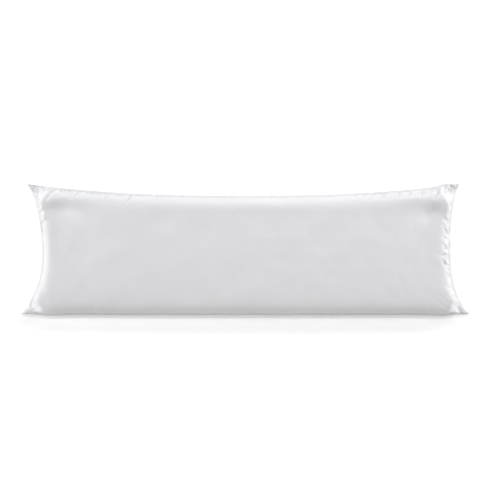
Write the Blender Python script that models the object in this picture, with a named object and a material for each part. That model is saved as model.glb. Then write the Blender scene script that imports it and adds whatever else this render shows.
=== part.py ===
"""A long body pillow lying on its back: two woven cotton panels sewn together round
all four sides and filled with loose fibre. It is one closed solid, in metres, +Z up.
The origin lies on the floor under the middle of the pillow. X runs along it."""

import math

import bmesh
import bpy
from mathutils import Matrix, Vector

# The plan, from above. The sewn edge is a knife edge with four flat corner ears.
TOP_LEFT = (-0.632, 0.193)
TOP_RIGHT = (0.619, 0.193)
BOTTOM_LEFT = (-0.648, -0.183)
BOTTOM_RIGHT = (0.649, -0.183)
TOP_DRAW_IN = 0.0348
TOP_POWER = 2.5
TOP_EAR_LIFT = 0.0062
TOP_EAR_PLACE = 0.940
TOP_EAR_REACH = 0.045
EAR_TIP_POWER = 40.0
BOTTOM_BELLY = 0.0030
BELLY_POWER = 6.0
BOTTOM_SAG = 0.0050
BOTTOM_SAG_PLACE = 0.870
BOTTOM_SAG_REACH = 0.070
LEFT_WAIST = (-0.589, -0.010)
RIGHT_WAIST = (0.587, 0.036)
END_POWER = 2.2
RIGHT_FLARE_POWER = 4.2
LEFT_EAR_NOTCH = 0.0050
LEFT_EAR_PLACE = -0.90
LEFT_EAR_REACH = 0.050

# The cross-section: a broad, slightly crowned face with round shoulders, and a flat seat. A
# higher shoulder power turns down nearer its seam: firm at the ends and the top, slack at the
# bottom. Each panel measures about 410 mm from seam to seam.
SEAM_HEIGHT = 0.0500
CROWN_RISE = 0.0630
CROWN_FALL_ALONG = 0.130
CROWN_FALL_ACROSS = 0.040
LIP_WIDTH = 0.0060
LIP_THICKNESS = 0.0024
TOP_SHOULDER = 16.0
BOTTOM_SHOULDER = 5.0
END_SHOULDER = 90.0
TOP_ROUNDING = 0.51
BOTTOM_ROUNDING = 0.76
END_ROUNDING = 0.68
CONTACT_PRESS = 1.08
CONTACT_ROUNDING = 1.35

# The ears: flat to one radius from the corner, full of fibre from the other.
EAR_FLAT = 0.010
EAR_FULL = 0.064
EAR_FIRMNESS = 0.14
EAR_DROOP = 0.0110
EAR_DROOP_REACH = 0.100

# The face isn't even: the fibre lies a little fuller and emptier from place to place.
SWELLS = (
    # along, across, reach along, reach across, rise
    (-0.400, 0.010, 0.190, 0.110, 0.0030),
    (-0.060, -0.030, 0.230, 0.120, 0.0020),
    (0.310, 0.020, 0.200, 0.110, 0.0032),
    (0.140, 0.080, 0.120, 0.050, -0.0016),
    (-0.235, 0.070, 0.100, 0.050, -0.0020),
    (0.455, -0.080, 0.100, 0.060, -0.0018),
    (0.220, 0.126, 0.500, 0.024, 0.0030),
    (-0.559, 0.030, 0.016, 0.140, 0.0026),
    (0.554, 0.050, 0.023, 0.120, 0.0028),
    (-0.546, 0.116, 0.060, 0.030, -0.0090),
    (0.526, 0.108, 0.050, 0.028, -0.0080),
)

# Puckers run in from the seam. Place is the distance along that edge from its middle,
# slant is the turn from square to the edge in degrees.
PUCKERS = (
    # edge, place, reach, half width, depth, slant
    ("top", -0.532, 0.036, 0.0075, 0.0040, -42.0),
    ("top", -0.480, 0.046, 0.0080, 0.0054, -30.0),
    ("top", -0.430, 0.036, 0.0075, 0.0036, -40.0),
    ("top", -0.396, 0.046, 0.0080, 0.0052, -26.0),
    ("top", -0.325, 0.044, 0.0080, 0.0046, -28.0),
    ("top", -0.255, 0.034, 0.0095, 0.0022, -24.0),
    ("top", 0.425, 0.036, 0.0085, 0.0028, -30.0),
    ("top", 0.472, 0.036, 0.0080, 0.0034, -36.0),
    ("top", 0.512, 0.044, 0.0080, 0.0050, -34.0),
    ("top", 0.557, 0.062, 0.0085, 0.0092, -16.0),
    ("top", 0.582, 0.052, 0.0075, 0.0064, -2.0),
    ("left", 0.138, 0.046, 0.0080, 0.0042, -40.0),
    ("left", 0.112, 0.044, 0.0080, 0.0042, -24.0),
    ("left", 0.070, 0.036, 0.0085, 0.0030, 16.0),
    ("left", -0.104, 0.046, 0.0100, 0.0028, -24.0),
    ("left", -0.150, 0.044, 0.0085, 0.0036, -38.0),
    ("right", 0.110, 0.040, 0.0085, 0.0034, -34.0),
    ("right", 0.026, 0.044, 0.0080, 0.0044, -34.0),
    ("right", -0.016, 0.052, 0.0085, 0.0068, 2.0),
    ("right", -0.042, 0.044, 0.0080, 0.0046, -30.0),
    ("right", -0.072, 0.044, 0.0085, 0.0048, -36.0),
    ("right", -0.152, 0.050, 0.0090, 0.0052, -50.0),
    ("bottom", -0.560, 0.048, 0.0090, 0.0036, -22.0),
    ("bottom", -0.440, 0.038, 0.0100, 0.0024, -12.0),
    ("bottom", 0.420, 0.040, 0.0100, 0.0024, 12.0),
    ("bottom", 0.572, 0.052, 0.0090, 0.0042, 24.0),
)
PUCKER_FLARE = 0.6
PUCKER_PEAK = 0.55
UNDER_PUCKER_SHARE = 0.6
FACE_PUCKER_LIMIT = 0.55
UNDER_PUCKER_LIMIT = 0.4

# The mesh: rows and columns of faces on each panel, closer together near the seams.
COLUMNS = 84
ROWS = 34
COLUMN_CROWDING = 0.40
ROW_CROWDING = 0.38

COTTON_WHITE = (0.83, 0.83, 0.84, 1.0)
COTTON_ROUGHNESS = 0.62


def clear_scene():
    for old in list(bpy.data.objects):
        bpy.data.objects.remove(old, do_unlink=True)


def smooth_rise(value, low, high):
    """0 below low, 1 above high, with an even slope between them."""
    share = min(max((value - low) / (high - low), 0.0), 1.0)
    return share * share * (3.0 - 2.0 * share)


def mix(a, b, share):
    return a + (b - a) * share


def top_edge(u):
    straight = Vector(TOP_LEFT).lerp(Vector(TOP_RIGHT), (u + 1.0) / 2.0)
    lift = TOP_EAR_LIFT * math.exp(-(((u - TOP_EAR_PLACE) / TOP_EAR_REACH) ** 2))
    lift *= 1.0 - abs(u) ** EAR_TIP_POWER
    return straight + Vector((0.0, lift - TOP_DRAW_IN * (1.0 - abs(u) ** TOP_POWER)))


def bottom_edge(u):
    straight = Vector(BOTTOM_LEFT).lerp(Vector(BOTTOM_RIGHT), (u + 1.0) / 2.0)
    sag = BOTTOM_SAG * math.exp(-(((abs(u) - BOTTOM_SAG_PLACE) / BOTTOM_SAG_REACH) ** 2))
    sag *= 1.0 - abs(u) ** EAR_TIP_POWER
    return straight - Vector((0.0, sag + BOTTOM_BELLY * (1.0 - abs(u) ** BELLY_POWER)))


def end_edge(v, upper, lower, waist, lower_power):
    """An end seam, drawn in to its waist and running out to an ear at each corner."""
    y = mix(lower[1], upper[1], (v + 1.0) / 2.0)
    corner, power = (upper, END_POWER) if y > waist[1] else (lower, lower_power)
    share = (y - waist[1]) / (corner[1] - waist[1])
    return Vector((mix(waist[0], corner[0], share**power), y))


def left_edge(v):
    """The left end seam, with a small notch above its lower ear, which is rolled."""
    notch = LEFT_EAR_NOTCH * math.exp(-(((v - LEFT_EAR_PLACE) / LEFT_EAR_REACH) ** 2))
    notch *= 1.0 - abs(v) ** EAR_TIP_POWER
    return end_edge(v, TOP_LEFT, BOTTOM_LEFT, LEFT_WAIST, END_POWER) + Vector((notch, 0.0))


def right_edge(v):
    return end_edge(v, TOP_RIGHT, BOTTOM_RIGHT, RIGHT_WAIST, RIGHT_FLARE_POWER)


def plan(u, v):
    """The place in plan, blended between the four sewn edges. u and v run from -1 to 1."""
    a, b = (u + 1.0) / 2.0, (v + 1.0) / 2.0
    edges = bottom_edge(u).lerp(top_edge(u), b) + left_edge(v).lerp(right_edge(v), a)
    low = Vector(BOTTOM_LEFT).lerp(Vector(BOTTOM_RIGHT), a)
    high = Vector(TOP_LEFT).lerp(Vector(TOP_RIGHT), a)
    return edges - low.lerp(high, b)


LENGTH = BOTTOM_RIGHT[0] - BOTTOM_LEFT[0]
WIDTH = TOP_LEFT[1] - BOTTOM_LEFT[1]
LIP_ALONG = 1.0 - 2.0 * LIP_WIDTH / LENGTH
LIP_ACROSS = 1.0 - 2.0 * LIP_WIDTH / WIDTH


def spread(place, count, lip, crowding):
    """Moves evenly spaced rows closer near the seams. The last one starts the flat lip."""
    if abs(place) > 1.0 - 1.0 / count:
        return math.copysign(1.0, place)
    share = place / (1.0 - 2.0 / count)
    return lip * (share * (1.0 + crowding) - crowding * share**3)


def corner_distance(point):
    corners = (TOP_LEFT, TOP_RIGHT, BOTTOM_LEFT, BOTTOM_RIGHT)
    return min((point - Vector(corner)).length for corner in corners)


def fullness(u, v, point):
    """How full of fibre the cover is: 0 on the lip and at the ears, 1 in the middle."""
    along = max(1.0 - (abs(u) / LIP_ALONG) ** END_SHOULDER, 0.0)
    shoulder, rounding = BOTTOM_SHOULDER, BOTTOM_ROUNDING
    if v > 0.0:
        shoulder, rounding = TOP_SHOULDER, TOP_ROUNDING
    across = max(1.0 - (abs(v) / LIP_ACROSS) ** shoulder, 0.0)
    ear = smooth_rise(corner_distance(point), EAR_FLAT, EAR_FULL)
    return along**END_ROUNDING * across**rounding * mix(EAR_FIRMNESS, 1.0, ear)


def crown(u, v):
    """The face falls gently from its middle towards its sides."""
    return 1.0 - CROWN_FALL_ALONG * u * u - CROWN_FALL_ACROSS * v * v


def seam_height(point):
    droop = EAR_DROOP * (1.0 - smooth_rise(corner_distance(point), 0.0, EAR_DROOP_REACH))
    return SEAM_HEIGHT - droop


def swell(point):
    total = 0.0
    for along, across, reach_along, reach_across, rise in SWELLS:
        far = ((point.x - along) / reach_along) ** 2 + ((point.y - across) / reach_across) ** 2
        total += rise * math.exp(-far)
    return total


def pucker_lines():
    """Each pucker as its start on the seam, its direction inward and its sizes."""
    inward = {"top": (0, -1), "bottom": (0, 1), "left": (1, 0), "right": (-1, 0)}
    lines = []
    for edge, place, reach, half_width, depth, slant in PUCKERS:
        if edge in ("top", "bottom"):
            seam = top_edge if edge == "top" else bottom_edge
            start = seam(place / (LENGTH / 2.0))
        else:
            seam = left_edge if edge == "left" else right_edge
            start = seam(place / (WIDTH / 2.0))
        turned = Matrix.Rotation(math.radians(slant), 2) @ Vector(inward[edge])
        lines.append((start, turned, reach, half_width, depth))
    return lines


PUCKER_LINES = pucker_lines()


def pucker_depth(point):
    total = 0.0
    for start, way, reach, half_width, depth in PUCKER_LINES:
        offset = point - start
        run = offset.dot(way) / reach
        if not 0.0 < run < 1.0:
            continue
        spread_width = half_width * (1.0 + PUCKER_FLARE * (run - 0.5))
        side = (offset.x * way.y - offset.y * way.x) / spread_width
        total += depth * math.sin(math.pi * run**PUCKER_PEAK) * math.exp(-side * side)
    return total


def face_height(u, v, point):
    full = fullness(u, v, point)
    soft = full * full * swell(point)
    pucker = min(pucker_depth(point), FACE_PUCKER_LIMIT * CROWN_RISE * full)
    return seam_height(point) + LIP_THICKNESS / 2.0 + CROWN_RISE * full * crown(u, v) + soft - pucker


def back_height(u, v, point):
    """The under panel comes down in a round shoulder and lies flat on the floor."""
    full = fullness(u, v, point)
    press = min(CONTACT_PRESS * full, 1.0)
    rim = seam_height(point) - LIP_THICKNESS / 2.0
    pucker = min(UNDER_PUCKER_SHARE * pucker_depth(point), UNDER_PUCKER_LIMIT * SEAM_HEIGHT * full)
    return (rim + pucker) * (1.0 - press) ** CONTACT_ROUNDING


def add_panel(mesh, height, faces_up):
    made = bmesh.ops.create_grid(mesh, x_segments=COLUMNS, y_segments=ROWS, size=1.0)
    for vert in made["verts"]:
        u = spread(vert.co.x, COLUMNS, LIP_ALONG, COLUMN_CROWDING)
        v = spread(vert.co.y, ROWS, LIP_ACROSS, ROW_CROWDING)
        point = plan(u, v)
        vert.co = (point.x, point.y, height(u, v, point))
    if not faces_up:
        faces = {face for vert in made["verts"] for face in vert.link_faces}
        bmesh.ops.reverse_faces(mesh, faces=list(faces))


def cotton_cover():
    material = bpy.data.materials.new("cover_cloth")
    material.use_nodes = True
    shader = material.node_tree.nodes["Principled BSDF"]
    shader.inputs["Base Color"].default_value = COTTON_WHITE
    shader.inputs["Roughness"].default_value = COTTON_ROUGHNESS
    shader.inputs["Metallic"].default_value = 0.0
    return material


def make_pillow():
    mesh = bmesh.new()
    add_panel(mesh, face_height, True)
    add_panel(mesh, back_height, False)
    rims = [edge for edge in mesh.edges if edge.is_boundary]
    bmesh.ops.bridge_loops(mesh, edges=rims)
    bmesh.ops.recalc_face_normals(mesh, faces=mesh.faces)
    data = bpy.data.meshes.new("body_pillow")
    mesh.to_mesh(data)
    mesh.free()
    data.materials.append(cotton_cover())
    data.shade_smooth()
    pillow = bpy.data.objects.new("body_pillow", data)
    bpy.context.scene.collection.objects.link(pillow)
    return pillow


clear_scene()
make_pillow()
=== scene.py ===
import math

import bmesh
import bpy
import numpy as np
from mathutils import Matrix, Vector


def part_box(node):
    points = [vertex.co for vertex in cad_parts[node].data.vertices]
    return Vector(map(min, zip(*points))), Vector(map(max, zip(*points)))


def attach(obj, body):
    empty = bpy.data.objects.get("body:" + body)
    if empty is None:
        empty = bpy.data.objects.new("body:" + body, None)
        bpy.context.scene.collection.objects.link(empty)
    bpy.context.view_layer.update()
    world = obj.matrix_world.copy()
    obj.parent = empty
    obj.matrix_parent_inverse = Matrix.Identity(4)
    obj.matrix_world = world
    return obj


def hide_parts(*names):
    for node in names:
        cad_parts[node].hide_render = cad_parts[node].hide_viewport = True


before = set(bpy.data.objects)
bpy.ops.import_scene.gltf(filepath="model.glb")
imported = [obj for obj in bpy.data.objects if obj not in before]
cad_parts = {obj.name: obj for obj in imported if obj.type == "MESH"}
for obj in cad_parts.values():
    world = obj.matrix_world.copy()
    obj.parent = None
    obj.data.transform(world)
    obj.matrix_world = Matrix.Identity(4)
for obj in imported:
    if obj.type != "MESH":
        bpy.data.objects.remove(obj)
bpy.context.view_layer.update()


# The filled cover. Two panels of plain white cotton percale, cut to 1300 x 400 mm, are sewn face to
# face round all four sides, turned through and filled with loose fibre. The filling draws the seams
# in, gathers the cloth beside them and leaves a flat ear at each corner.
(left_x, _, floor_z), (right_x, back_y, crown_z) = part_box("body_pillow")

# The four seams in plan: where the ears end, and how far the filling draws each seam in between them.
CUT_LENGTH = 1.300
CUT_WIDTH = 0.400
SIDE_HEIGHT = 0.376
EAR_CLEARANCE = 0.0008
TOP_LEFT_INSET = 0.016
TOP_RIGHT_INSET = 0.030
EAR_Y = back_y - EAR_CLEARANCE
TOP_LEFT = np.array((left_x + TOP_LEFT_INSET, EAR_Y))
TOP_RIGHT = np.array((right_x - TOP_RIGHT_INSET, EAR_Y))
BOTTOM_LEFT = np.array((left_x, EAR_Y - SIDE_HEIGHT))
BOTTOM_RIGHT = np.array((right_x, EAR_Y - SIDE_HEIGHT))
EAR_TIP_POWER = 40.0
TOP_DRAW_IN = 0.0348
TOP_POWER = 2.5
TOP_EAR_LIFT = 0.0062
TOP_EAR_PLACE = 0.940
TOP_EAR_REACH = 0.045
BOTTOM_BELLY = 0.0030
BELLY_POWER = 6.0
BOTTOM_SAG = 0.0034
BOTTOM_SAG_PLACE = 0.870
BOTTOM_SAG_REACH = 0.070
LEFT_WAIST = (left_x + 0.062, -0.010)
RIGHT_WAIST = (right_x - 0.057, 0.036)
END_POWER = 2.2
RIGHT_FLARE_POWER = 3.6
LEFT_EAR_NOTCH = 0.0050
LEFT_EAR_PLACE = -0.90
LEFT_EAR_REACH = 0.050

# The filled form in height: the seam with its flat lip, the crowned face and the back that rests
# on the floor, which turn over at the shoulders, and the ears, which hold next to no fibre.
SEAM_HEIGHT = 0.050
LIP_WIDTH = 0.006
LIP_THICKNESS = 0.0022
END_LIP_DROOP = 0.0024
TOP_LIP_DROOP = 0.0012
BOTTOM_LIP_DROOP = 0.0090
CROWN_CLEARANCE = 0.0033
CROWN_RISE = crown_z - SEAM_HEIGHT - CROWN_CLEARANCE
CROWN_FALL_ALONG = 0.130
CROWN_FALL_ACROSS = 0.040
TOP_SHOULDER = 16.0
BOTTOM_SHOULDER = 8.0
END_SHOULDER = 76.0
TOP_ROUNDING = 0.51
BOTTOM_ROUNDING = 0.34
END_ROUNDING = 0.68
CONTACT_PRESS = 1.08
CONTACT_ROUNDING = 1.35
EAR_FLAT = 0.032
EAR_FULL = 0.070
EAR_FIRMNESS = 0.14
EAR_DROOP = 0.011
EAR_DROOP_REACH = 0.100


def smooth_rise(value, low, high):
    share = np.clip((value - low) / (high - low), 0.0, 1.0)
    return share * share * (3.0 - 2.0 * share)


def between(start, end, share):
    return start + (end - start) * np.asarray(share)[..., None]


def top_seam(u):
    line = between(TOP_LEFT, TOP_RIGHT, (u + 1.0) / 2.0)
    line[..., 1] -= TOP_DRAW_IN * (1.0 - np.abs(u) ** TOP_POWER)
    lift = TOP_EAR_LIFT * np.exp(-(((u - TOP_EAR_PLACE) / TOP_EAR_REACH) ** 2))
    line[..., 1] += lift * (1.0 - np.abs(u) ** EAR_TIP_POWER)
    return line


def bottom_seam(u):
    line = between(BOTTOM_LEFT, BOTTOM_RIGHT, (u + 1.0) / 2.0)
    line[..., 1] -= BOTTOM_BELLY * (1.0 - np.abs(u) ** BELLY_POWER)
    sag = BOTTOM_SAG * np.exp(-(((np.abs(u) - BOTTOM_SAG_PLACE) / BOTTOM_SAG_REACH) ** 2))
    line[..., 1] -= sag * (1.0 - np.abs(u) ** EAR_TIP_POWER)
    return line


def end_seam(v, upper, lower, waist, lower_power):
    """An end seam, drawn in to its waist and running out to an ear at each corner."""
    y = lower[1] + (upper[1] - lower[1]) * (v + 1.0) / 2.0
    corner_x = np.where(y > waist[1], upper[0], lower[0])
    corner_y = np.where(y > waist[1], upper[1], lower[1])
    power = np.where(y > waist[1], END_POWER, lower_power)
    x = waist[0] + (corner_x - waist[0]) * ((y - waist[1]) / (corner_y - waist[1])) ** power
    return np.stack([x, y], axis=-1)


def left_seam(v):
    """The left end seam, with a small notch above its lower ear, which is lightly rolled."""
    line = end_seam(v, TOP_LEFT, BOTTOM_LEFT, LEFT_WAIST, END_POWER)
    notch = LEFT_EAR_NOTCH * np.exp(-(((v - LEFT_EAR_PLACE) / LEFT_EAR_REACH) ** 2))
    line[..., 0] += notch * (1.0 - np.abs(v) ** EAR_TIP_POWER)
    return line


def right_seam(v):
    return end_seam(v, TOP_RIGHT, BOTTOM_RIGHT, RIGHT_WAIST, RIGHT_FLARE_POWER)


def plan(u, v):
    """The place in plan, blended between the four seams. u and v run from -1 to 1."""
    along, across = (u + 1.0) / 2.0, (v + 1.0) / 2.0
    edges = between(bottom_seam(u), top_seam(u), across) + between(left_seam(v), right_seam(v), along)
    low = between(BOTTOM_LEFT, BOTTOM_RIGHT, along)
    high = between(TOP_LEFT, TOP_RIGHT, along)
    return edges - between(low, high, across)


LIP_ALONG = 1.0 - 2.0 * LIP_WIDTH / (right_x - left_x)
LIP_ACROSS = 1.0 - 2.0 * LIP_WIDTH / SIDE_HEIGHT


def corner_distance(point):
    corners = (TOP_LEFT, TOP_RIGHT, BOTTOM_LEFT, BOTTOM_RIGHT)
    return np.min([np.linalg.norm(point - corner, axis=-1) for corner in corners], axis=0)


def fullness(u, v, point):
    """How full of fibre the cover is: 0 on the lip and at the ears, 1 in the middle."""
    along = np.maximum(1.0 - (np.abs(u) / LIP_ALONG) ** END_SHOULDER, 0.0)
    shoulder = np.where(v > 0.0, TOP_SHOULDER, BOTTOM_SHOULDER)
    across = np.maximum(1.0 - (np.abs(v) / LIP_ACROSS) ** shoulder, 0.0)
    ear = EAR_FIRMNESS + (1.0 - EAR_FIRMNESS) * smooth_rise(corner_distance(point), EAR_FLAT, EAR_FULL)
    rounding = np.where(v > 0.0, TOP_ROUNDING, BOTTOM_ROUNDING)
    return along**END_ROUNDING * across**rounding * ear


def seam_height(point):
    return SEAM_HEIGHT - EAR_DROOP * (1.0 - smooth_rise(corner_distance(point), 0.0, EAR_DROOP_REACH))


# The fibre lies fuller and emptier from place to place: broad swells, low ridges along the top and
# the ends, and two hollows where the face meets the upper ears.
SWELLS = (
    # along, across, reach along, reach across, rise
    (-0.400, 0.010, 0.190, 0.110, 0.0030),
    (-0.060, -0.030, 0.230, 0.120, 0.0020),
    (0.310, 0.020, 0.200, 0.110, 0.0032),
    (0.140, 0.080, 0.120, 0.050, -0.0016),
    (-0.235, 0.070, 0.100, 0.050, -0.0020),
    (0.455, -0.080, 0.100, 0.060, -0.0018),
    (0.080, 0.128, 0.560, 0.024, 0.0040),
    (-0.559, 0.030, 0.016, 0.140, 0.0026),
    (0.554, 0.050, 0.023, 0.120, 0.0028),
    (-0.525, 0.150, 0.070, 0.021, 0.0120),
    (0.505, 0.150, 0.080, 0.021, 0.0100),
    (-0.586, 0.132, 0.018, 0.050, 0.0120),
    (0.580, 0.124, 0.018, 0.050, 0.0100),
    (-0.532, 0.112, 0.050, 0.034, -0.0150),
    (-0.530, 0.050, 0.110, 0.100, -0.0090),
    (0.538, 0.102, 0.050, 0.036, -0.0150),
    (0.510, 0.060, 0.110, 0.090, -0.0080),
)


def swell(point):
    total = np.zeros(point.shape[:-1])
    for along, across, reach_along, reach_across, rise in SWELLS:
        far = ((point[..., 0] - along) / reach_along) ** 2 + ((point[..., 1] - across) / reach_across) ** 2
        total += rise * np.exp(-far)
    return total


def crowned(u, v, lip=LIP_THICKNESS):
    """The smooth filled form: the face and the back, as two grids of points."""
    point = plan(u, v)
    full = fullness(u, v, point)
    seam = seam_height(point)
    crown = 1.0 - CROWN_FALL_ALONG * u**2 - CROWN_FALL_ACROSS * v**2
    face = seam + lip / 2.0 + CROWN_RISE * full * crown + full**2 * swell(point)
    press = np.minimum(CONTACT_PRESS * full, 1.0)
    back = (seam - lip / 2.0) * (1.0 - press) ** CONTACT_ROUNDING
    limp = END_LIP_DROOP * smooth_rise(np.abs(u), LIP_ALONG, 1.0)
    side_droop = np.where(v > 0.0, TOP_LIP_DROOP, BOTTOM_LIP_DROOP) * (1.0 - np.abs(u) ** EAR_TIP_POWER)
    limp = np.maximum(limp, side_droop * smooth_rise(np.abs(v), LIP_ACROSS, 1.0))
    face, back = face - limp, back - limp
    return np.append(point, face[..., None], axis=-1), np.append(point, back[..., None], axis=-1)


def rows_of(count, crowding):
    """Places from -1 to 1, closer together near the seams."""
    even = np.linspace(-1.0, 1.0, count + 1)
    return even * (1.0 + crowding) - crowding * even**3


# The cloth is let go as the filled form, remembers the flat size it was cut to, and is blown up
# against the floor. Its seams hold the outline. Only the creases that this leaves are kept.
SETTLE_COLUMNS = 180
SETTLE_ROWS = 56
SETTLE_CROWDING = 0.12
SETTLE_FRAMES = 26
SETTLE_CAP = 0.010
SETTLE_SHARE = 0.15
SETTLE_PRESSURE = 22.0
SETTLE_STRETCH = 80.0
SETTLE_SHEAR = 20.0
SETTLE_BEND = 0.2
SETTLE_DAMPING = 20.0
CREASE_REACH = (9, 7)
SEAM_HOLD = 0.9
COLLIDER_SKIN = 0.001
COLLIDER_SIZE = 4.0


def two_panels(face, back):
    """Vertices and faces of two panels that share their rim, and where each panel's points went."""
    columns, rows = face.shape[0] - 1, face.shape[1] - 1
    index = np.arange((columns + 1) * (rows + 1)).reshape(columns + 1, rows + 1)
    under = index.copy()
    inner = np.zeros(index.shape, bool)
    inner[1:-1, 1:-1] = True
    under[inner] = index.size + np.arange(inner.sum())
    verts = np.concatenate([face.reshape(-1, 3), back[inner]])
    quads = []
    for grid, turned in ((index, False), (under, True)):
        ring = [grid[:-1, :-1], grid[1:, :-1], grid[1:, 1:], grid[:-1, 1:]]
        quads.append(np.stack(ring[::-1] if turned else ring, axis=-1).reshape(-1, 4))
    return verts, np.concatenate(quads), index, under


def settled():
    """The movement of each panel as the cloth settles, on the simulation's own grid."""
    u, v = rows_of(SETTLE_COLUMNS, SETTLE_CROWDING), rows_of(SETTLE_ROWS, SETTLE_CROWDING)
    grid_u, grid_v = np.meshgrid(u, v, indexing="ij")
    face, back = crowned(grid_u, grid_v, lip=0.0)
    verts, quads, index, under = two_panels(face, back)
    mesh = bpy.data.meshes.new("settling_cloth")
    mesh.from_pydata(verts.tolist(), [], quads.tolist())
    cloth = bpy.data.objects.new("settling_cloth", mesh)
    bpy.context.scene.collection.objects.link(cloth)
    cloth.shape_key_add(name="filled")
    cut = cloth.shape_key_add(name="cut_flat")
    height = np.full(grid_u.shape, SEAM_HEIGHT)
    flat = np.dstack([grid_u * CUT_LENGTH / 2.0, grid_v * CUT_WIDTH / 2.0, height])
    apart = np.array((0.0, 0.0, 2.0 * COLLIDER_SKIN))
    cut.data.foreach_set("co", two_panels(flat + apart, flat - apart)[0].ravel())
    cut.value = 0.0
    rim = np.setdiff1d(index.ravel(), index[1:-1, 1:-1].ravel())
    held = cloth.vertex_groups.new(name="seam")
    held.add(rim.tolist(), SEAM_HOLD, "REPLACE")
    bpy.ops.mesh.primitive_plane_add(size=COLLIDER_SIZE, location=(0.0, 0.0, -COLLIDER_SKIN))
    table = bpy.context.object
    table.modifiers.new("Collision", "COLLISION")
    table.collision.thickness_outer = COLLIDER_SKIN
    modifier = cloth.modifiers.new("Cloth", "CLOTH")
    settings = modifier.settings
    settings.quality = 6
    settings.mass = 0.1
    settings.air_damping = 6.0
    settings.tension_stiffness = settings.compression_stiffness = SETTLE_STRETCH
    settings.shear_stiffness = SETTLE_SHEAR
    settings.bending_stiffness = SETTLE_BEND
    settings.tension_damping = settings.compression_damping = SETTLE_DAMPING
    settings.shear_damping = SETTLE_DAMPING
    settings.rest_shape_key = cut
    settings.vertex_group_mass = "seam"
    settings.use_pressure = True
    settings.uniform_pressure_force = SETTLE_PRESSURE
    settings.effector_weights.gravity = 0.0
    modifier.collision_settings.distance_min = COLLIDER_SKIN
    modifier.collision_settings.use_self_collision = False
    modifier.point_cache.frame_end = SETTLE_FRAMES
    for step in range(1, SETTLE_FRAMES + 1):
        bpy.context.scene.frame_set(step)
    ended = cloth.evaluated_get(bpy.context.evaluated_depsgraph_get()).data
    after = np.empty(len(ended.vertices) * 3, np.float32)
    ended.vertices.foreach_get("co", after)
    moved = after.reshape(-1, 3) - verts
    bpy.data.objects.remove(cloth)
    bpy.data.objects.remove(table)
    bpy.context.scene.frame_set(1)
    return u, v, moved[index], moved[under]


def softened(field, reach_u, reach_v):
    """The field with its detail smoothed away, by a Gaussian over that many rows each way."""
    for axis, reach in ((0, reach_u), (1, reach_v)):
        offsets = np.arange(-3 * reach, 3 * reach + 1)
        weights = np.exp(-0.5 * (offsets / reach) ** 2)
        weights /= weights.sum()
        pads = [(3 * reach, 3 * reach) if a == axis else (0, 0) for a in range(field.ndim)]
        padded = np.pad(field, pads, mode="reflect")
        count = field.shape[axis]
        field = sum(w * np.take(padded, range(k, k + count), axis=axis) for k, w in enumerate(weights))
    return field


def read_at(field, u_rows, v_rows, u, v):
    """The field at each place, on a smooth surface through the sixteen nearest of its points."""
    nearest = []
    for rows, places in ((u_rows, u), (v_rows, v)):
        spot = np.interp(places, rows, np.arange(len(rows)))
        base = np.clip(np.floor(spot).astype(int), 0, len(rows) - 2)
        t = (spot - base)[:, None]
        weights = (
            (-t + 2 * t**2 - t**3) / 2,
            (2 - 5 * t**2 + 3 * t**3) / 2,
            (t + 4 * t**2 - 3 * t**3) / 2,
            (t**3 - t**2) / 2,
        )
        nearest.append([(np.clip(base + k - 1, 0, len(rows) - 1), w) for k, w in enumerate(weights)])
    return sum(w_u * w_v * field[i, j] for i, w_u in nearest[0] for j, w_v in nearest[1])


settled_creases = None
settle_u, settle_v, *moves = settled()
sharp = [move - softened(move, *CREASE_REACH) for move in moves]
settled_creases = [np.clip(move, -SETTLE_CAP, SETTLE_CAP) for move in sharp]


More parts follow.
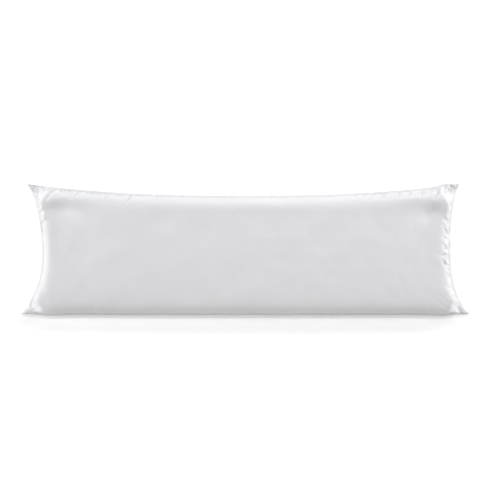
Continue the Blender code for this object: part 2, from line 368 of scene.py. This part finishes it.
# The seams draw the cloth into gathers: sharp little valleys with full cloth between them. Place is
# the distance along the seam from its middle, slant is the turn from square to the seam in degrees.
chance = np.random.default_rng(41)
SEAMS = {
    # seam: its line, half its length, the way inward
    "top": (top_seam, (right_x - left_x) / 2.0, (0.0, -1.0)),
    "bottom": (bottom_seam, (right_x - left_x) / 2.0, (0.0, 1.0)),
    "left": (left_seam, SIDE_HEIGHT / 2.0, (1.0, 0.0)),
    "right": (right_seam, SIDE_HEIGHT / 2.0, (-1.0, 0.0)),
}
MAIN_PUCKERS = (
    # seam, place, reach, half width, depth, slant
    ("top", -0.557, 0.022, 0.0022, 0.0050, -46.0),
    ("top", -0.539, 0.024, 0.0024, 0.0060, -46.0),
    ("top", -0.527, 0.022, 0.0022, 0.0052, -44.0),
    ("top", -0.515, 0.024, 0.0024, 0.0060, -44.0),
    ("top", -0.506, 0.020, 0.0022, 0.0046, -42.0),
    ("top", -0.489, 0.038, 0.0027, 0.0090, -30.0),
    ("top", -0.458, 0.022, 0.0023, 0.0056, -46.0),
    ("top", -0.446, 0.024, 0.0024, 0.0062, -44.0),
    ("top", -0.437, 0.020, 0.0022, 0.0048, -44.0),
    ("top", -0.428, 0.024, 0.0024, 0.0062, -44.0),
    ("top", -0.422, 0.018, 0.0022, 0.0044, -40.0),
    ("top", -0.402, 0.036, 0.0027, 0.0090, -29.0),
    ("top", -0.365, 0.024, 0.0024, 0.0058, -44.0),
    ("top", -0.356, 0.020, 0.0023, 0.0048, -40.0),
    ("top", -0.332, 0.038, 0.0028, 0.0084, -24.0),
    ("top", -0.300, 0.020, 0.0028, 0.0036, -40.0),
    ("top", -0.255, 0.028, 0.0040, 0.0026, -30.0),
    ("top", 0.425, 0.026, 0.0036, 0.0034, -34.0),
    ("top", 0.472, 0.026, 0.0032, 0.0048, -38.0),
    ("top", 0.508, 0.024, 0.0028, 0.0060, -38.0),
    ("top", 0.540, 0.036, 0.0028, 0.0096, -38.0),
    ("top", 0.549, 0.030, 0.0026, 0.0080, -37.0),
    ("top", 0.562, 0.024, 0.0026, 0.0060, -26.0),
    ("top", 0.574, 0.026, 0.0026, 0.0056, -30.0),
    ("top", 0.588, 0.052, 0.0038, 0.0130, -26.0),
    ("top", 0.607, 0.048, 0.0032, 0.0110, -8.0),
    ("left", 0.150, 0.028, 0.0025, 0.0080, -46.0),
    ("left", 0.134, 0.033, 0.0025, 0.0097, -40.0),
    ("left", 0.112, 0.033, 0.0028, 0.0109, -24.0),
    ("left", 0.096, 0.026, 0.0023, 0.0073, -36.0),
    ("left", 0.072, 0.034, 0.0025, 0.0073, 22.0),
    ("left", -0.104, 0.042, 0.0070, 0.0027, -24.0),
    ("left", -0.150, 0.040, 0.0048, 0.0039, -38.0),
    ("right", 0.122, 0.038, 0.0029, 0.0066, -36.0),
    ("right", 0.064, 0.040, 0.0029, 0.0077, -46.0),
    ("right", 0.034, 0.047, 0.0026, 0.0106, -46.0),
    ("right", 0.022, 0.040, 0.0024, 0.0089, -24.0),
    ("right", -0.008, 0.040, 0.0024, 0.0101, -34.0),
    ("right", -0.017, 0.056, 0.0031, 0.0140, 4.0),
    ("right", -0.034, 0.043, 0.0024, 0.0101, -38.0),
    ("right", -0.052, 0.040, 0.0024, 0.0089, -30.0),
    ("right", -0.066, 0.049, 0.0027, 0.0125, -44.0),
    ("right", -0.086, 0.038, 0.0026, 0.0077, -34.0),
    ("right", -0.126, 0.049, 0.0033, 0.0101, -30.0),
    ("right", -0.146, 0.047, 0.0029, 0.0101, -40.0),
    ("right", -0.162, 0.045, 0.0027, 0.0101, -52.0),
    ("bottom", -0.440, 0.034, 0.0050, 0.0016, -12.0),
    ("bottom", 0.420, 0.034, 0.0050, 0.0016, 12.0),
)
GATHERS = (
    # seam, from, to, spacing, reach, half width, depth, slant
    ("top", -0.600, -0.300, 0.0090, 0.022, 0.0024, 0.0024, -42.0),
    ("top", -0.614, -0.558, 0.0060, 0.048, 0.0018, 0.0050, -26.0),
    ("top", -0.300, 0.340, 0.0150, 0.018, 0.0030, 0.0010, -28.0),
    ("top", 0.340, 0.600, 0.0105, 0.028, 0.0026, 0.0028, -32.0),
    ("bottom", -0.610, 0.610, 0.0150, 0.022, 0.0030, 0.0007, 0.0),
    ("left", 0.060, 0.168, 0.0100, 0.034, 0.0020, 0.0055, -36.0),
    ("left", 0.050, 0.150, 0.0180, 0.036, 0.0022, 0.0055, 30.0),
    ("left", -0.170, 0.040, 0.0140, 0.024, 0.0030, 0.0010, 8.0),
    ("right", -0.170, 0.105, 0.0085, 0.034, 0.0022, 0.0046, -28.0),
    ("right", -0.170, 0.020, 0.0140, 0.030, 0.0022, 0.0036, 22.0),
)
EAR_FANS = (
    # corner, creases, first bearing, last bearing, start, reach, half width, depth
    (TOP_LEFT, 5, -72.0, -14.0, 0.022, 0.050, 0.0026, 0.0034),
    (TOP_RIGHT, 8, -172.0, -92.0, 0.008, 0.056, 0.0028, 0.0052),
    (BOTTOM_LEFT, 5, 8.0, 66.0, 0.016, 0.046, 0.0030, 0.0030),
    (BOTTOM_RIGHT, 12, 112.0, 162.0, 0.006, 0.058, 0.0026, 0.0056),
)
# How far each gather or fan crease may stray from its row: shares of a size, and degrees of turn.
GATHER_WANDER = 0.3
GATHER_TURN = 14.0
GATHER_SIZES = (0.45, 1.25)
FAN_TURN = 5.0
FAN_SIZES = (0.6, 1.15)
FAN_STARTS = (0.7, 1.4)
CREASE_WIDTHS = (0.8, 1.3)
VALLEY_ROUNDING = 0.25
VALLEY_START_WIDTH = 0.7
VALLEY_SPREAD = 0.6


def heading(degrees):
    return np.array((math.cos(math.radians(degrees)), math.sin(math.radians(degrees))))


def creases():
    """Every valley as its start, its direction and its sizes, all in the plan."""
    lines = []
    for seam, place, reach, half_width, depth, slant in MAIN_PUCKERS:
        line, half_length, inward = SEAMS[seam]
        bearing = math.degrees(math.atan2(inward[1], inward[0])) + slant
        lines.append((line(np.array(place / half_length)), heading(bearing), reach, half_width, depth))
    for seam, first, last, spacing, reach, half_width, depth, slant in GATHERS:
        line, half_length, inward = SEAMS[seam]
        square = math.degrees(math.atan2(inward[1], inward[0]))
        for place in np.arange(first, last, spacing):
            wander = chance.uniform(-GATHER_WANDER, GATHER_WANDER) * spacing
            start = line(np.array((place + wander) / half_length))
            size = chance.uniform(*GATHER_SIZES)
            bearing = square + slant + chance.uniform(-GATHER_TURN, GATHER_TURN)
            width = half_width * chance.uniform(*CREASE_WIDTHS)
            lines.append((start, heading(bearing), reach * size, width, depth * size))
    for corner, count, first, last, begin, reach, half_width, depth in EAR_FANS:
        for bearing in np.linspace(first, last, count):
            way = heading(bearing + chance.uniform(-FAN_TURN, FAN_TURN))
            size = chance.uniform(*FAN_SIZES)
            start = corner + way * begin * chance.uniform(*FAN_STARTS)
            width = half_width * chance.uniform(*CREASE_WIDTHS)
            lines.append((start, way, reach * size, width, depth * size))
    return lines


VALLEYS = creases()


def valley_depth(point):
    """How far the cloth is drawn down at each point by the gathers."""
    total = np.zeros(point.shape[:-1])
    for start, way, reach, half_width, depth in VALLEYS:
        offset = point - start
        run = (offset[..., 0] * way[0] + offset[..., 1] * way[1]) / reach
        near = (run > 0.0) & (run < 1.0)
        width = half_width * (VALLEY_START_WIDTH + VALLEY_SPREAD * run[near])
        side = (offset[near, 0] * way[1] - offset[near, 1] * way[0]) / width
        valley = np.exp(VALLEY_ROUNDING - np.sqrt(side * side + VALLEY_ROUNDING**2))
        total[near] += depth * np.sin(math.pi * run[near] ** 0.5) * valley
    return total


# The fibre shows through as faint lumps. The empty lip and ears ripple, droop and roll as one.
LUMPS = (
    # waves, shortest, longest, height
    (14, 0.085, 0.190, 0.0010),
    (18, 0.032, 0.060, 0.00030),
)
LIMP_RIPPLES = (16, 0.011, 0.034, 1.0)
EAR_CRUMPLE = (
    # corner, reach, ripple height, reach of the droop, its steepness and bearing
    (TOP_LEFT, 0.032, 0.0026, 0.056, 1.20, -76.0),
    (TOP_RIGHT, 0.050, 0.0020, 0.036, 0.40, -125.0),
    (BOTTOM_LEFT, 0.040, 0.0010, 0.030, 0.25, 135.0),
    (BOTTOM_RIGHT, 0.060, 0.0022, 0.040, 0.50, 45.0),
)
EAR_ROLLS = (
    # the middle of the roll, from the ear's corner; ring spacing, reach, height
    (TOP_RIGHT, -0.022, -0.016, 0.0090, 0.016, 0.0034),
    (BOTTOM_LEFT, 0.014, 0.006, 0.0220, 0.011, -0.0022),
    (BOTTOM_RIGHT, -0.018, 0.008, 0.0090, 0.012, 0.0018),
)
LIP_RIPPLE = 0.0007
LIMP_FULLNESS = (0.05, 0.55)
CREASED_FULLNESS = (0.0, 0.35)
# The share of a gather that each panel takes, and how deep it may go in the panel's own rise.
FACE_VALLEYS = (1.0, 0.55)
BACK_VALLEYS = (0.6, 0.4)


def wave_set(count, shortest, longest, height):
    """Plane waves of chance direction and length that add to an even, never repeating ripple."""
    ways = [heading(chance.uniform(0.0, 360.0)) / chance.uniform(shortest, longest) for _ in range(count)]
    starts = chance.uniform(0.0, 2.0 * math.pi, count)
    return 2.0 * math.pi * np.array(ways), starts, height / math.sqrt(count)


def ripple(waves, point):
    ways, starts, height = waves
    return height * sum(np.cos(point @ way + start) for way, start in zip(ways, starts))


LUMP_WAVES = [wave_set(*lumps) for lumps in LUMPS]
LIMP_WAVES = wave_set(*LIMP_RIPPLES)
STEP = 0.001


def cover(u, v):
    """Both panels of the finished cover at these places: crowned, creased, gathered and rippled."""
    point = plan(u, v)
    full = fullness(u, v, point)
    panels = list(crowned(u, v))
    nudged = [np.clip(place, -1.0, 1.0) for place in (u - STEP, u + STEP, v - STEP, v + STEP)]
    before_u, after_u = crowned(nudged[0], v), crowned(nudged[1], v)
    before_v, after_v = crowned(u, nudged[2]), crowned(u, nudged[3])
    drawn = valley_depth(point)
    deepest = (CROWN_RISE * full, SEAM_HEIGHT * full)
    for side, (share, limit) in enumerate((FACE_VALLEYS, BACK_VALLEYS)):
        outward = np.cross(after_u[side] - before_u[side], after_v[side] - before_v[side])
        outward /= np.linalg.norm(outward, axis=-1, keepdims=True) * (1.0, -1.0)[side]
        if settled_creases:
            crease = read_at(settled_creases[side], settle_u, settle_v, u, v)
            panels[side] += crease * SETTLE_SHARE * smooth_rise(full, *CREASED_FULLNESS)[:, None]
        panels[side] -= outward * np.minimum(share * drawn, limit * deepest[side])[:, None]
    face, back = panels
    for waves in LUMP_WAVES:
        face[:, 2] += ripple(waves, point) * full
    height = np.full(full.shape, LIP_RIPPLE)
    curled = np.zeros(full.shape)
    for corner, reach, extra, droop_reach, steepness, bearing in EAR_CRUMPLE:
        away = np.linalg.norm(point - corner, axis=-1)
        height += extra * np.exp(-((away / reach) ** 2))
        inward = (point - corner) @ heading(bearing)
        curled -= steepness * inward * np.exp(-((away / droop_reach) ** 2))
    for corner, aside, across, spacing, reach, rise in EAR_ROLLS:
        away = np.linalg.norm(point - corner - (aside, across), axis=-1)
        curled -= rise * np.cos(2.0 * math.pi * away / spacing) * np.exp(-((away / reach) ** 2))
    limp = curled + ripple(LIMP_WAVES, point) * height * (1.0 - smooth_rise(full, *LIMP_FULLNESS))
    face[:, 2] += limp
    back[:, 2] += limp
    back[:, 2] = np.maximum(back[:, 2], floor_z)
    return face, back


# The mesh of one panel, flat and from -1 to 1 both ways: four times finer beside the seams.
COLUMNS = 162
ROWS = 50
SEAM_CELLS = 5
CORNER_CELLS = 11
FINER = 4


def panel_mesh():
    """The places of one panel's vertices, its faces, and the ring of vertices round its rim."""
    u_lines = np.concatenate([[-1.0], np.linspace(-LIP_ALONG, LIP_ALONG, COLUMNS - 1), [1.0]])
    v_lines = np.concatenate([[-1.0], np.linspace(-LIP_ACROSS, LIP_ACROSS, ROWS - 1), [1.0]])
    flat = bmesh.new()
    verts = [[flat.verts.new((u, v, 0.0)) for v in v_lines] for u in u_lines]
    fine = []
    for i in range(COLUMNS):
        for j in range(ROWS):
            made = flat.faces.new((verts[i][j], verts[i + 1][j], verts[i + 1][j + 1], verts[i][j + 1]))
            from_end, from_side = min(i, COLUMNS - 1 - i), min(j, ROWS - 1 - j)
            if min(from_end, from_side) < SEAM_CELLS or max(from_end, from_side) < CORNER_CELLS:
                fine.extend(made.edges)
    bmesh.ops.subdivide_edges(flat, edges=list(set(fine)), cuts=FINER - 1, use_grid_fill=True)
    flat.verts.index_update()
    places = np.array([vert.co[:2] for vert in flat.verts])
    faces = [[vert.index for vert in made.verts] for made in flat.faces]
    flat.free()
    rim = []
    for axis, side, order in ((1, -1.0, 1.0), (0, 1.0, 1.0), (1, 1.0, -1.0), (0, -1.0, -1.0)):
        row = np.flatnonzero(places[:, axis] == side)
        rim.append(row[np.argsort(order * places[row, 1 - axis])][:-1])
    return places, faces, np.concatenate(rim)


EDGE_BULGE = 0.0008


def closed_cover(face, back, faces, ring):
    """One closed mesh: the face, the back and a narrow rounded edge between their rims."""
    count = len(face)
    polygons = faces + [[index + count for index in polygon[::-1]] for polygon in faces]
    after = np.roll(ring, -1)
    fold = np.arange(len(ring)) + 2 * count
    fold_after = np.roll(fold, -1)
    polygons += np.stack([ring, fold, fold_after, after], axis=-1).tolist()
    polygons += np.stack([fold, ring + count, after + count, fold_after], axis=-1).tolist()
    along = np.roll(face[ring], -1, axis=0) - np.roll(face[ring], 1, axis=0)
    outward = np.stack([along[:, 1], -along[:, 0], np.zeros(len(along))], axis=-1)
    outward /= np.linalg.norm(outward, axis=-1, keepdims=True)
    middle = (face[ring] + back[ring]) / 2.0 + outward * EDGE_BULGE
    return np.concatenate([face, back, middle]), polygons


places, faces, ring = panel_mesh()
face, back = cover(places[:, 0], places[:, 1])
verts, polygons = closed_cover(face, back, faces, ring)
mesh = bpy.data.meshes.new("pillow")
mesh.from_pydata(verts.tolist(), [], polygons)
mesh.shade_smooth()
pillow = bpy.data.objects.new("pillow", mesh)
bpy.context.scene.collection.objects.link(pillow)

# The weave follows the flat cut of each panel, in metres from its middle.
flat_cut = places * (CUT_LENGTH / 2.0, CUT_WIDTH / 2.0)
flat_cut = np.concatenate([flat_cut, flat_cut, flat_cut[ring]])
loop_verts = np.empty(len(mesh.loops), np.int32)
mesh.loops.foreach_get("vertex_index", loop_verts)
mesh.uv_layers.new(name="cut").data.foreach_set("uv", flat_cut[loop_verts].ravel())


class Wire:
    """One output of a shader node. Arithmetic on it adds Math nodes; node() adds any other."""

    def __init__(self, socket):
        self.socket = socket

    def node(self, kind, settings, inputs):
        """A node of that kind: its settings first, then each input as a value or another Wire."""
        tree = self.socket.id_data
        made = tree.nodes.new(kind)
        for name, value in settings.items():
            setattr(made, name, value)
        for name, value in inputs.items():
            if isinstance(value, Wire):
                tree.links.new(value.socket, made.inputs[name])
            else:
                made.inputs[name].default_value = value
        return Wire(made.outputs[0])

    def out(self, name):
        return Wire(self.socket.node.outputs[name])

    def math(self, operation, *values):
        return self.node("ShaderNodeMath", {"operation": operation}, dict(enumerate(values)))

    def __add__(self, other):
        return self.math("ADD", self, other)

    def __radd__(self, other):
        return self.math("ADD", other, self)

    def __sub__(self, other):
        return self.math("SUBTRACT", self, other)

    def __rsub__(self, other):
        return self.math("SUBTRACT", other, self)

    def __mul__(self, other):
        return self.math("MULTIPLY", self, other)

    def __rmul__(self, other):
        return self.math("MULTIPLY", other, self)

    def __abs__(self):
        return self.math("ABSOLUTE", self)

    def sine(self, wavelength):
        return self.math("SINE", self * (2.0 * math.pi / wavelength))

    def fade(self, reach):
        """1 where the value is 0, falling to 0 where it is the reach or more."""
        return self.math("MAXIMUM", 1.0 - self * (1.0 / reach), 0.0)


def noise(along, across, detail=2.0):
    """Even noise from -1 to 1, one bump to each whole step of along or across."""
    place = along.node("ShaderNodeCombineXYZ", {}, {"X": along, "Y": across})
    sizes = {"Vector": place, "Scale": 1.0, "Detail": detail, "Roughness": 0.5}
    return place.node("ShaderNodeTexNoise", {"noise_dimensions": "2D"}, sizes) * 2.0 - 1.0


# Percale: a plain weave of fine even threads, softly crumpled, tightly gathered beside the seams.
# Slubs, gathers and patches of tone or roughness are given as so many to a metre.
THREAD_PITCH = 0.00072
THREAD_RELIEF = 0.000016
SLUB_ACROSS = 900.0
SLUB_ALONG = 30.0
SLUB_RELIEF = 0.000016
CRUMPLES = (
    # bumps per metre, relief
    (26.0, 0.00050),
    (70.0, 0.00018),
    (170.0, 0.00005),
)
GATHER_PITCH = 0.0050
GATHER_REACH = 0.020
GATHER_RELIEF = 0.0011
GATHER_LEAN = 0.7
GATHER_ALONG = 40.0
TONES = 9.0
TONE_DETAIL = 4.0
COTTON = (0.741, 0.737, 0.752, 1.0)
COTTON_DULL = (0.717, 0.713, 0.730, 1.0)
COTTON_ROUGHNESS = 0.62
ROUGHNESS_PATCHES = 40.0
ROUGHNESS_SPREAD = 0.04
COTTON_SHEEN = 0.30
SHEEN_ROUGHNESS = 0.40

cotton = bpy.data.materials.new("white_percale")
cotton.use_nodes = True
shader = cotton.node_tree.nodes["Principled BSDF"]
percale = Wire(shader.outputs[0])
place = percale.node("ShaderNodeUVMap", {"uv_map": "cut"}, {})
split = place.node("ShaderNodeSeparateXYZ", {}, {"Vector": place})
warp, weft = split.out("X"), split.out("Y")

threads = warp.sine(THREAD_PITCH) * weft.sine(THREAD_PITCH) * THREAD_RELIEF
warp_slubs = noise(warp * SLUB_ACROSS, weft * SLUB_ALONG)
slubs = (warp_slubs + noise(warp * SLUB_ALONG, weft * SLUB_ACROSS)) * SLUB_RELIEF
relief = threads + slubs
for per_metre, height in CRUMPLES:
    relief = relief + noise(warp * per_metre, weft * per_metre) * height

side_gap = CUT_WIDTH / 2.0 - abs(weft)
end_gap = CUT_LENGTH / 2.0 - abs(warp)
side_folds = (warp + side_gap * GATHER_LEAN) * (1.0 / GATHER_PITCH)
side_folds = abs(noise(side_folds, side_gap * GATHER_ALONG, 1.0))
end_folds = (weft - end_gap * GATHER_LEAN) * (1.0 / GATHER_PITCH)
end_folds = abs(noise(end_folds, end_gap * GATHER_ALONG, 1.0))
relief = relief + side_folds * side_gap.fade(GATHER_REACH) * GATHER_RELIEF
relief = relief + end_folds * end_gap.fade(GATHER_REACH) * GATHER_RELIEF

tone = noise(warp * TONES, weft * TONES, TONE_DETAIL) * 0.5 + 0.5
colour = tone.node("ShaderNodeMix", {"data_type": "RGBA"}, {0: tone, 6: COTTON, 7: COTTON_DULL}).out(2)
rough = noise(warp * ROUGHNESS_PATCHES, weft * ROUGHNESS_PATCHES) * ROUGHNESS_SPREAD + COTTON_ROUGHNESS
bumped = relief.node("ShaderNodeBump", {}, {"Strength": 1.0, "Distance": 1.0, "Height": relief})
cotton.node_tree.links.new(colour.socket, shader.inputs["Base Color"])
cotton.node_tree.links.new(rough.socket, shader.inputs["Roughness"])
cotton.node_tree.links.new(bumped.socket, shader.inputs["Normal"])
shader.inputs["Sheen Weight"].default_value = COTTON_SHEEN
shader.inputs["Sheen Roughness"].default_value = SHEEN_ROUGHNESS
mesh.materials.append(cotton)

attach(pillow, "root")
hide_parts("body_pillow")


# The edge stitching. White cotton-wrapped thread, lock-stitched through all the layers where the
# flat lip meets the filled body, so that a row of short stitches lies on each side of the lip.
STITCH_PITCH = 0.0032
STITCH_LENGTH = 0.0025
STITCH_WIDTH = 0.00055
STITCH_HEIGHT = 0.00040
STITCH_INSET = 0.30
STITCH_STAND = 0.3
STITCH_TURN = 7.0
SIDE_GUIDES = 800
END_GUIDES = 240
BEAD_SEGMENTS = 6
BEAD_RINGS = 4
WANDER_SEED = 5
THREAD_WHITE = (0.80, 0.80, 0.80, 1.0)
THREAD_ROUGHNESS = 0.45
THREAD_SHEEN = 0.2


def lip_line():
    """The places of the stitches, round the cover and part of the way out across its flat lip."""
    along = LIP_ALONG + (1.0 - LIP_ALONG) * STITCH_INSET
    across = LIP_ACROSS + (1.0 - LIP_ACROSS) * STITCH_INSET
    corners = np.array([(-along, -across), (along, -across), (along, across), (-along, across)])
    sides = []
    for start, end, count in zip(corners, np.roll(corners, -1, axis=0), 2 * (SIDE_GUIDES, END_GUIDES)):
        sides.append(between(start, end, np.arange(count) / count))
    return np.concatenate(sides)


rise = np.array((0.0, 0.0, STITCH_HEIGHT * STITCH_STAND))
upper, under = cover(*lip_line().T)
upper, under = upper + rise, under - rise
ends = np.arange(len(upper))
ring_edges = np.stack([ends, np.roll(ends, -1)], axis=-1)
run_mesh = bpy.data.meshes.new("stitch_run")
run_mesh.from_pydata(
    np.concatenate([upper, under]).tolist(),
    np.concatenate([ring_edges, ring_edges + len(upper)]).tolist(),
    [],
)
stitch_run = bpy.data.objects.new("stitch_run", run_mesh)
bpy.context.scene.collection.objects.link(stitch_run)

thread = bpy.data.materials.new("white_thread")
thread.use_nodes = True
thread_shader = thread.node_tree.nodes["Principled BSDF"]
thread_shader.inputs["Base Color"].default_value = THREAD_WHITE
thread_shader.inputs["Roughness"].default_value = THREAD_ROUGHNESS
thread_shader.inputs["Sheen Weight"].default_value = THREAD_SHEEN

stitch_row = bpy.data.node_groups.new("stitch_row", "GeometryNodeTree")
stitch_row.interface.new_socket("Run", in_out="INPUT", socket_type="NodeSocketGeometry")
STITCH_SIZES = {
    "Pitch": STITCH_PITCH,
    "Length": STITCH_LENGTH,
    "Width": STITCH_WIDTH,
    "Height": STITCH_HEIGHT,
    "Turn": math.radians(STITCH_TURN),
}
for name in STITCH_SIZES:
    stitch_row.interface.new_socket(name, in_out="INPUT", socket_type="NodeSocketFloat")
stitch_row.interface.new_socket("Stitches", in_out="OUTPUT", socket_type="NodeSocketGeometry")

given = Wire(stitch_row.nodes.new("NodeGroupInput").outputs["Run"])
turn = given.out("Turn")
line = given.node("GeometryNodeMeshToCurve", {}, {"Mesh": given})
apart = {"Curve": line, "Length": given.out("Pitch")}
spaced = given.node("GeometryNodeResampleCurve", {"mode": "LENGTH"}, apart)
round_bead = {"Segments": BEAD_SEGMENTS, "Rings": BEAD_RINGS, "Radius": 0.5}
bead = given.node("GeometryNodeMeshUVSphere", {}, round_bead)
sizes = {"X": given.out("Length"), "Y": given.out("Width"), "Z": given.out("Height")}
size = given.node("ShaderNodeCombineXYZ", {}, sizes)
stitch = given.node("GeometryNodeTransform", {}, {"Geometry": bead, "Scale": size})
tangent = given.node("GeometryNodeInputTangent", {}, {})
aimed = given.node("FunctionNodeAlignRotationToVector", {"axis": "X"}, {"Vector": tangent})
either_way = {2: turn * -1.0, 3: turn, 8: WANDER_SEED}
wander = given.node("FunctionNodeRandomValue", {"data_type": "FLOAT"}, either_way).out(1)
sideways = given.node("ShaderNodeCombineXYZ", {}, {"Z": wander})
skewed = {"Rotation": aimed, "Rotate By": sideways}
turned = given.node("FunctionNodeRotateRotation", {"rotation_space": "LOCAL"}, skewed)
placed = {"Points": spaced, "Instance": stitch, "Rotation": turned}
laid = given.node("GeometryNodeInstanceOnPoints", {}, placed)
real = given.node("GeometryNodeRealizeInstances", {}, {"Geometry": laid})
smooth = given.node("GeometryNodeSetShadeSmooth", {}, {"Geometry": real})
sewn = given.node("GeometryNodeSetMaterial", {}, {"Geometry": smooth, "Material": thread})
stitch_row.links.new(sewn.socket, stitch_row.nodes.new("NodeGroupOutput").inputs["Stitches"])

modifier = stitch_run.modifiers.new("stitch_row", "NODES")
modifier.node_group = stitch_row
for name, value in STITCH_SIZES.items():
    modifier[stitch_row.interface.items_tree[name].identifier] = value
laid_run = stitch_run.evaluated_get(bpy.context.evaluated_depsgraph_get())
sewn_mesh = bpy.data.meshes.new_from_object(laid_run)
bpy.data.objects.remove(stitch_run)
edge_stitching = bpy.data.objects.new("edge_stitching", sewn_mesh)
bpy.context.scene.collection.objects.link(edge_stitching)
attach(edge_stitching, "root")
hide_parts("body_pillow")


# The stage. A plain sheet of white paper lies just under the pillow, and soft white panels light it
# from behind, from both ends and a little from the front. The camera stands square above the face.
FLOOR_SIZE = 60.0
FLOOR_GAP = 0.0004
PAPER_WHITE = (0.95, 0.95, 0.95, 1.0)
PAPER_ROUGHNESS = 0.9
PAPER_GLOW = 0.20
bpy.ops.mesh.primitive_plane_add(size=FLOOR_SIZE, location=(0.0, 0.0, floor_z - FLOOR_GAP))
floor = bpy.context.object
floor.name = "floor"
paper = bpy.data.materials.new("white_paper")
paper.use_nodes = True
paper_shader = paper.node_tree.nodes["Principled BSDF"]
paper_shader.inputs["Base Color"].default_value = PAPER_WHITE
paper_shader.inputs["Roughness"].default_value = PAPER_ROUGHNESS
paper_shader.inputs["Emission Color"].default_value = (1.0, 1.0, 1.0, 1.0)
paper_shader.inputs["Emission Strength"].default_value = PAPER_GLOW
floor.data.materials.append(paper)

AIM = Vector((0.013, 0.002, 0.056))
LENS_MM = 85.0
VIEW_WIDTH = 1.441
lens = bpy.data.cameras.new("camera")
lens.lens = LENS_MM
camera = bpy.data.objects.new("camera", lens)
camera.location = AIM + Vector((0.0, 0.0, VIEW_WIDTH * LENS_MM / lens.sensor_width))
bpy.context.scene.collection.objects.link(camera)
bpy.context.scene.camera = camera

WHITE_LIGHT = (1.0, 1.0, 1.0)
COOL_LIGHT = (0.93, 0.975, 1.0)
SOFT_LIGHTS = (
    # name, bearing, elevation, distance, width, height, watts, colour
    ("back_low", 90.0, 1.5, 2.60, 2.6, 0.3, 27.5, COOL_LIGHT),
    ("back_mid", 90.0, 55.0, 2.60, 2.6, 0.4, 13.0, WHITE_LIGHT),
    ("back_high", 90.0, 78.0, 4.30, 3.0, 0.3, 52.0, WHITE_LIGHT),
    ("left_low", 180.0, 5.0, 5.20, 2.0, 0.8, 114.0, WHITE_LIGHT),
    ("left_mid", 180.0, 30.0, 5.20, 2.0, 0.8, 84.0, WHITE_LIGHT),
    ("right_low", 0.0, 3.0, 5.20, 2.0, 0.6, 98.0, WHITE_LIGHT),
    ("right_mid", 0.0, 30.0, 5.20, 2.0, 0.8, 56.0, WHITE_LIGHT),
    ("right_back", 45.0, 40.0, 5.20, 2.8, 0.8, 69.0, WHITE_LIGHT),
    ("front_mid", 270.0, 30.0, 2.60, 2.0, 0.4, 12.5, WHITE_LIGHT),
)
for name, bearing, elevation, distance, width, height, watts, colour in SOFT_LIGHTS:
    lamp = bpy.data.lights.new(name, "AREA")
    lamp.shape = "RECTANGLE"
    lamp.size, lamp.size_y = width, height
    lamp.energy = watts
    lamp.color = colour
    soft = bpy.data.objects.new(name, lamp)
    ground = distance * math.cos(math.radians(elevation)) * heading(bearing)
    soft.location = (ground[0], ground[1], distance * math.sin(math.radians(elevation)))
    soft.rotation_mode = "QUATERNION"
    soft.rotation_quaternion = (AIM - soft.location).to_track_quat("-Z", "Y")
    bpy.context.scene.collection.objects.link(soft)

dark_room = bpy.data.worlds.new("dark_room")
dark_room.use_nodes = True
dark_room.node_tree.nodes["Background"].inputs["Strength"].default_value = 0.0
bpy.context.scene.world = dark_room
bpy.context.scene.view_settings.view_transform = "Standard"
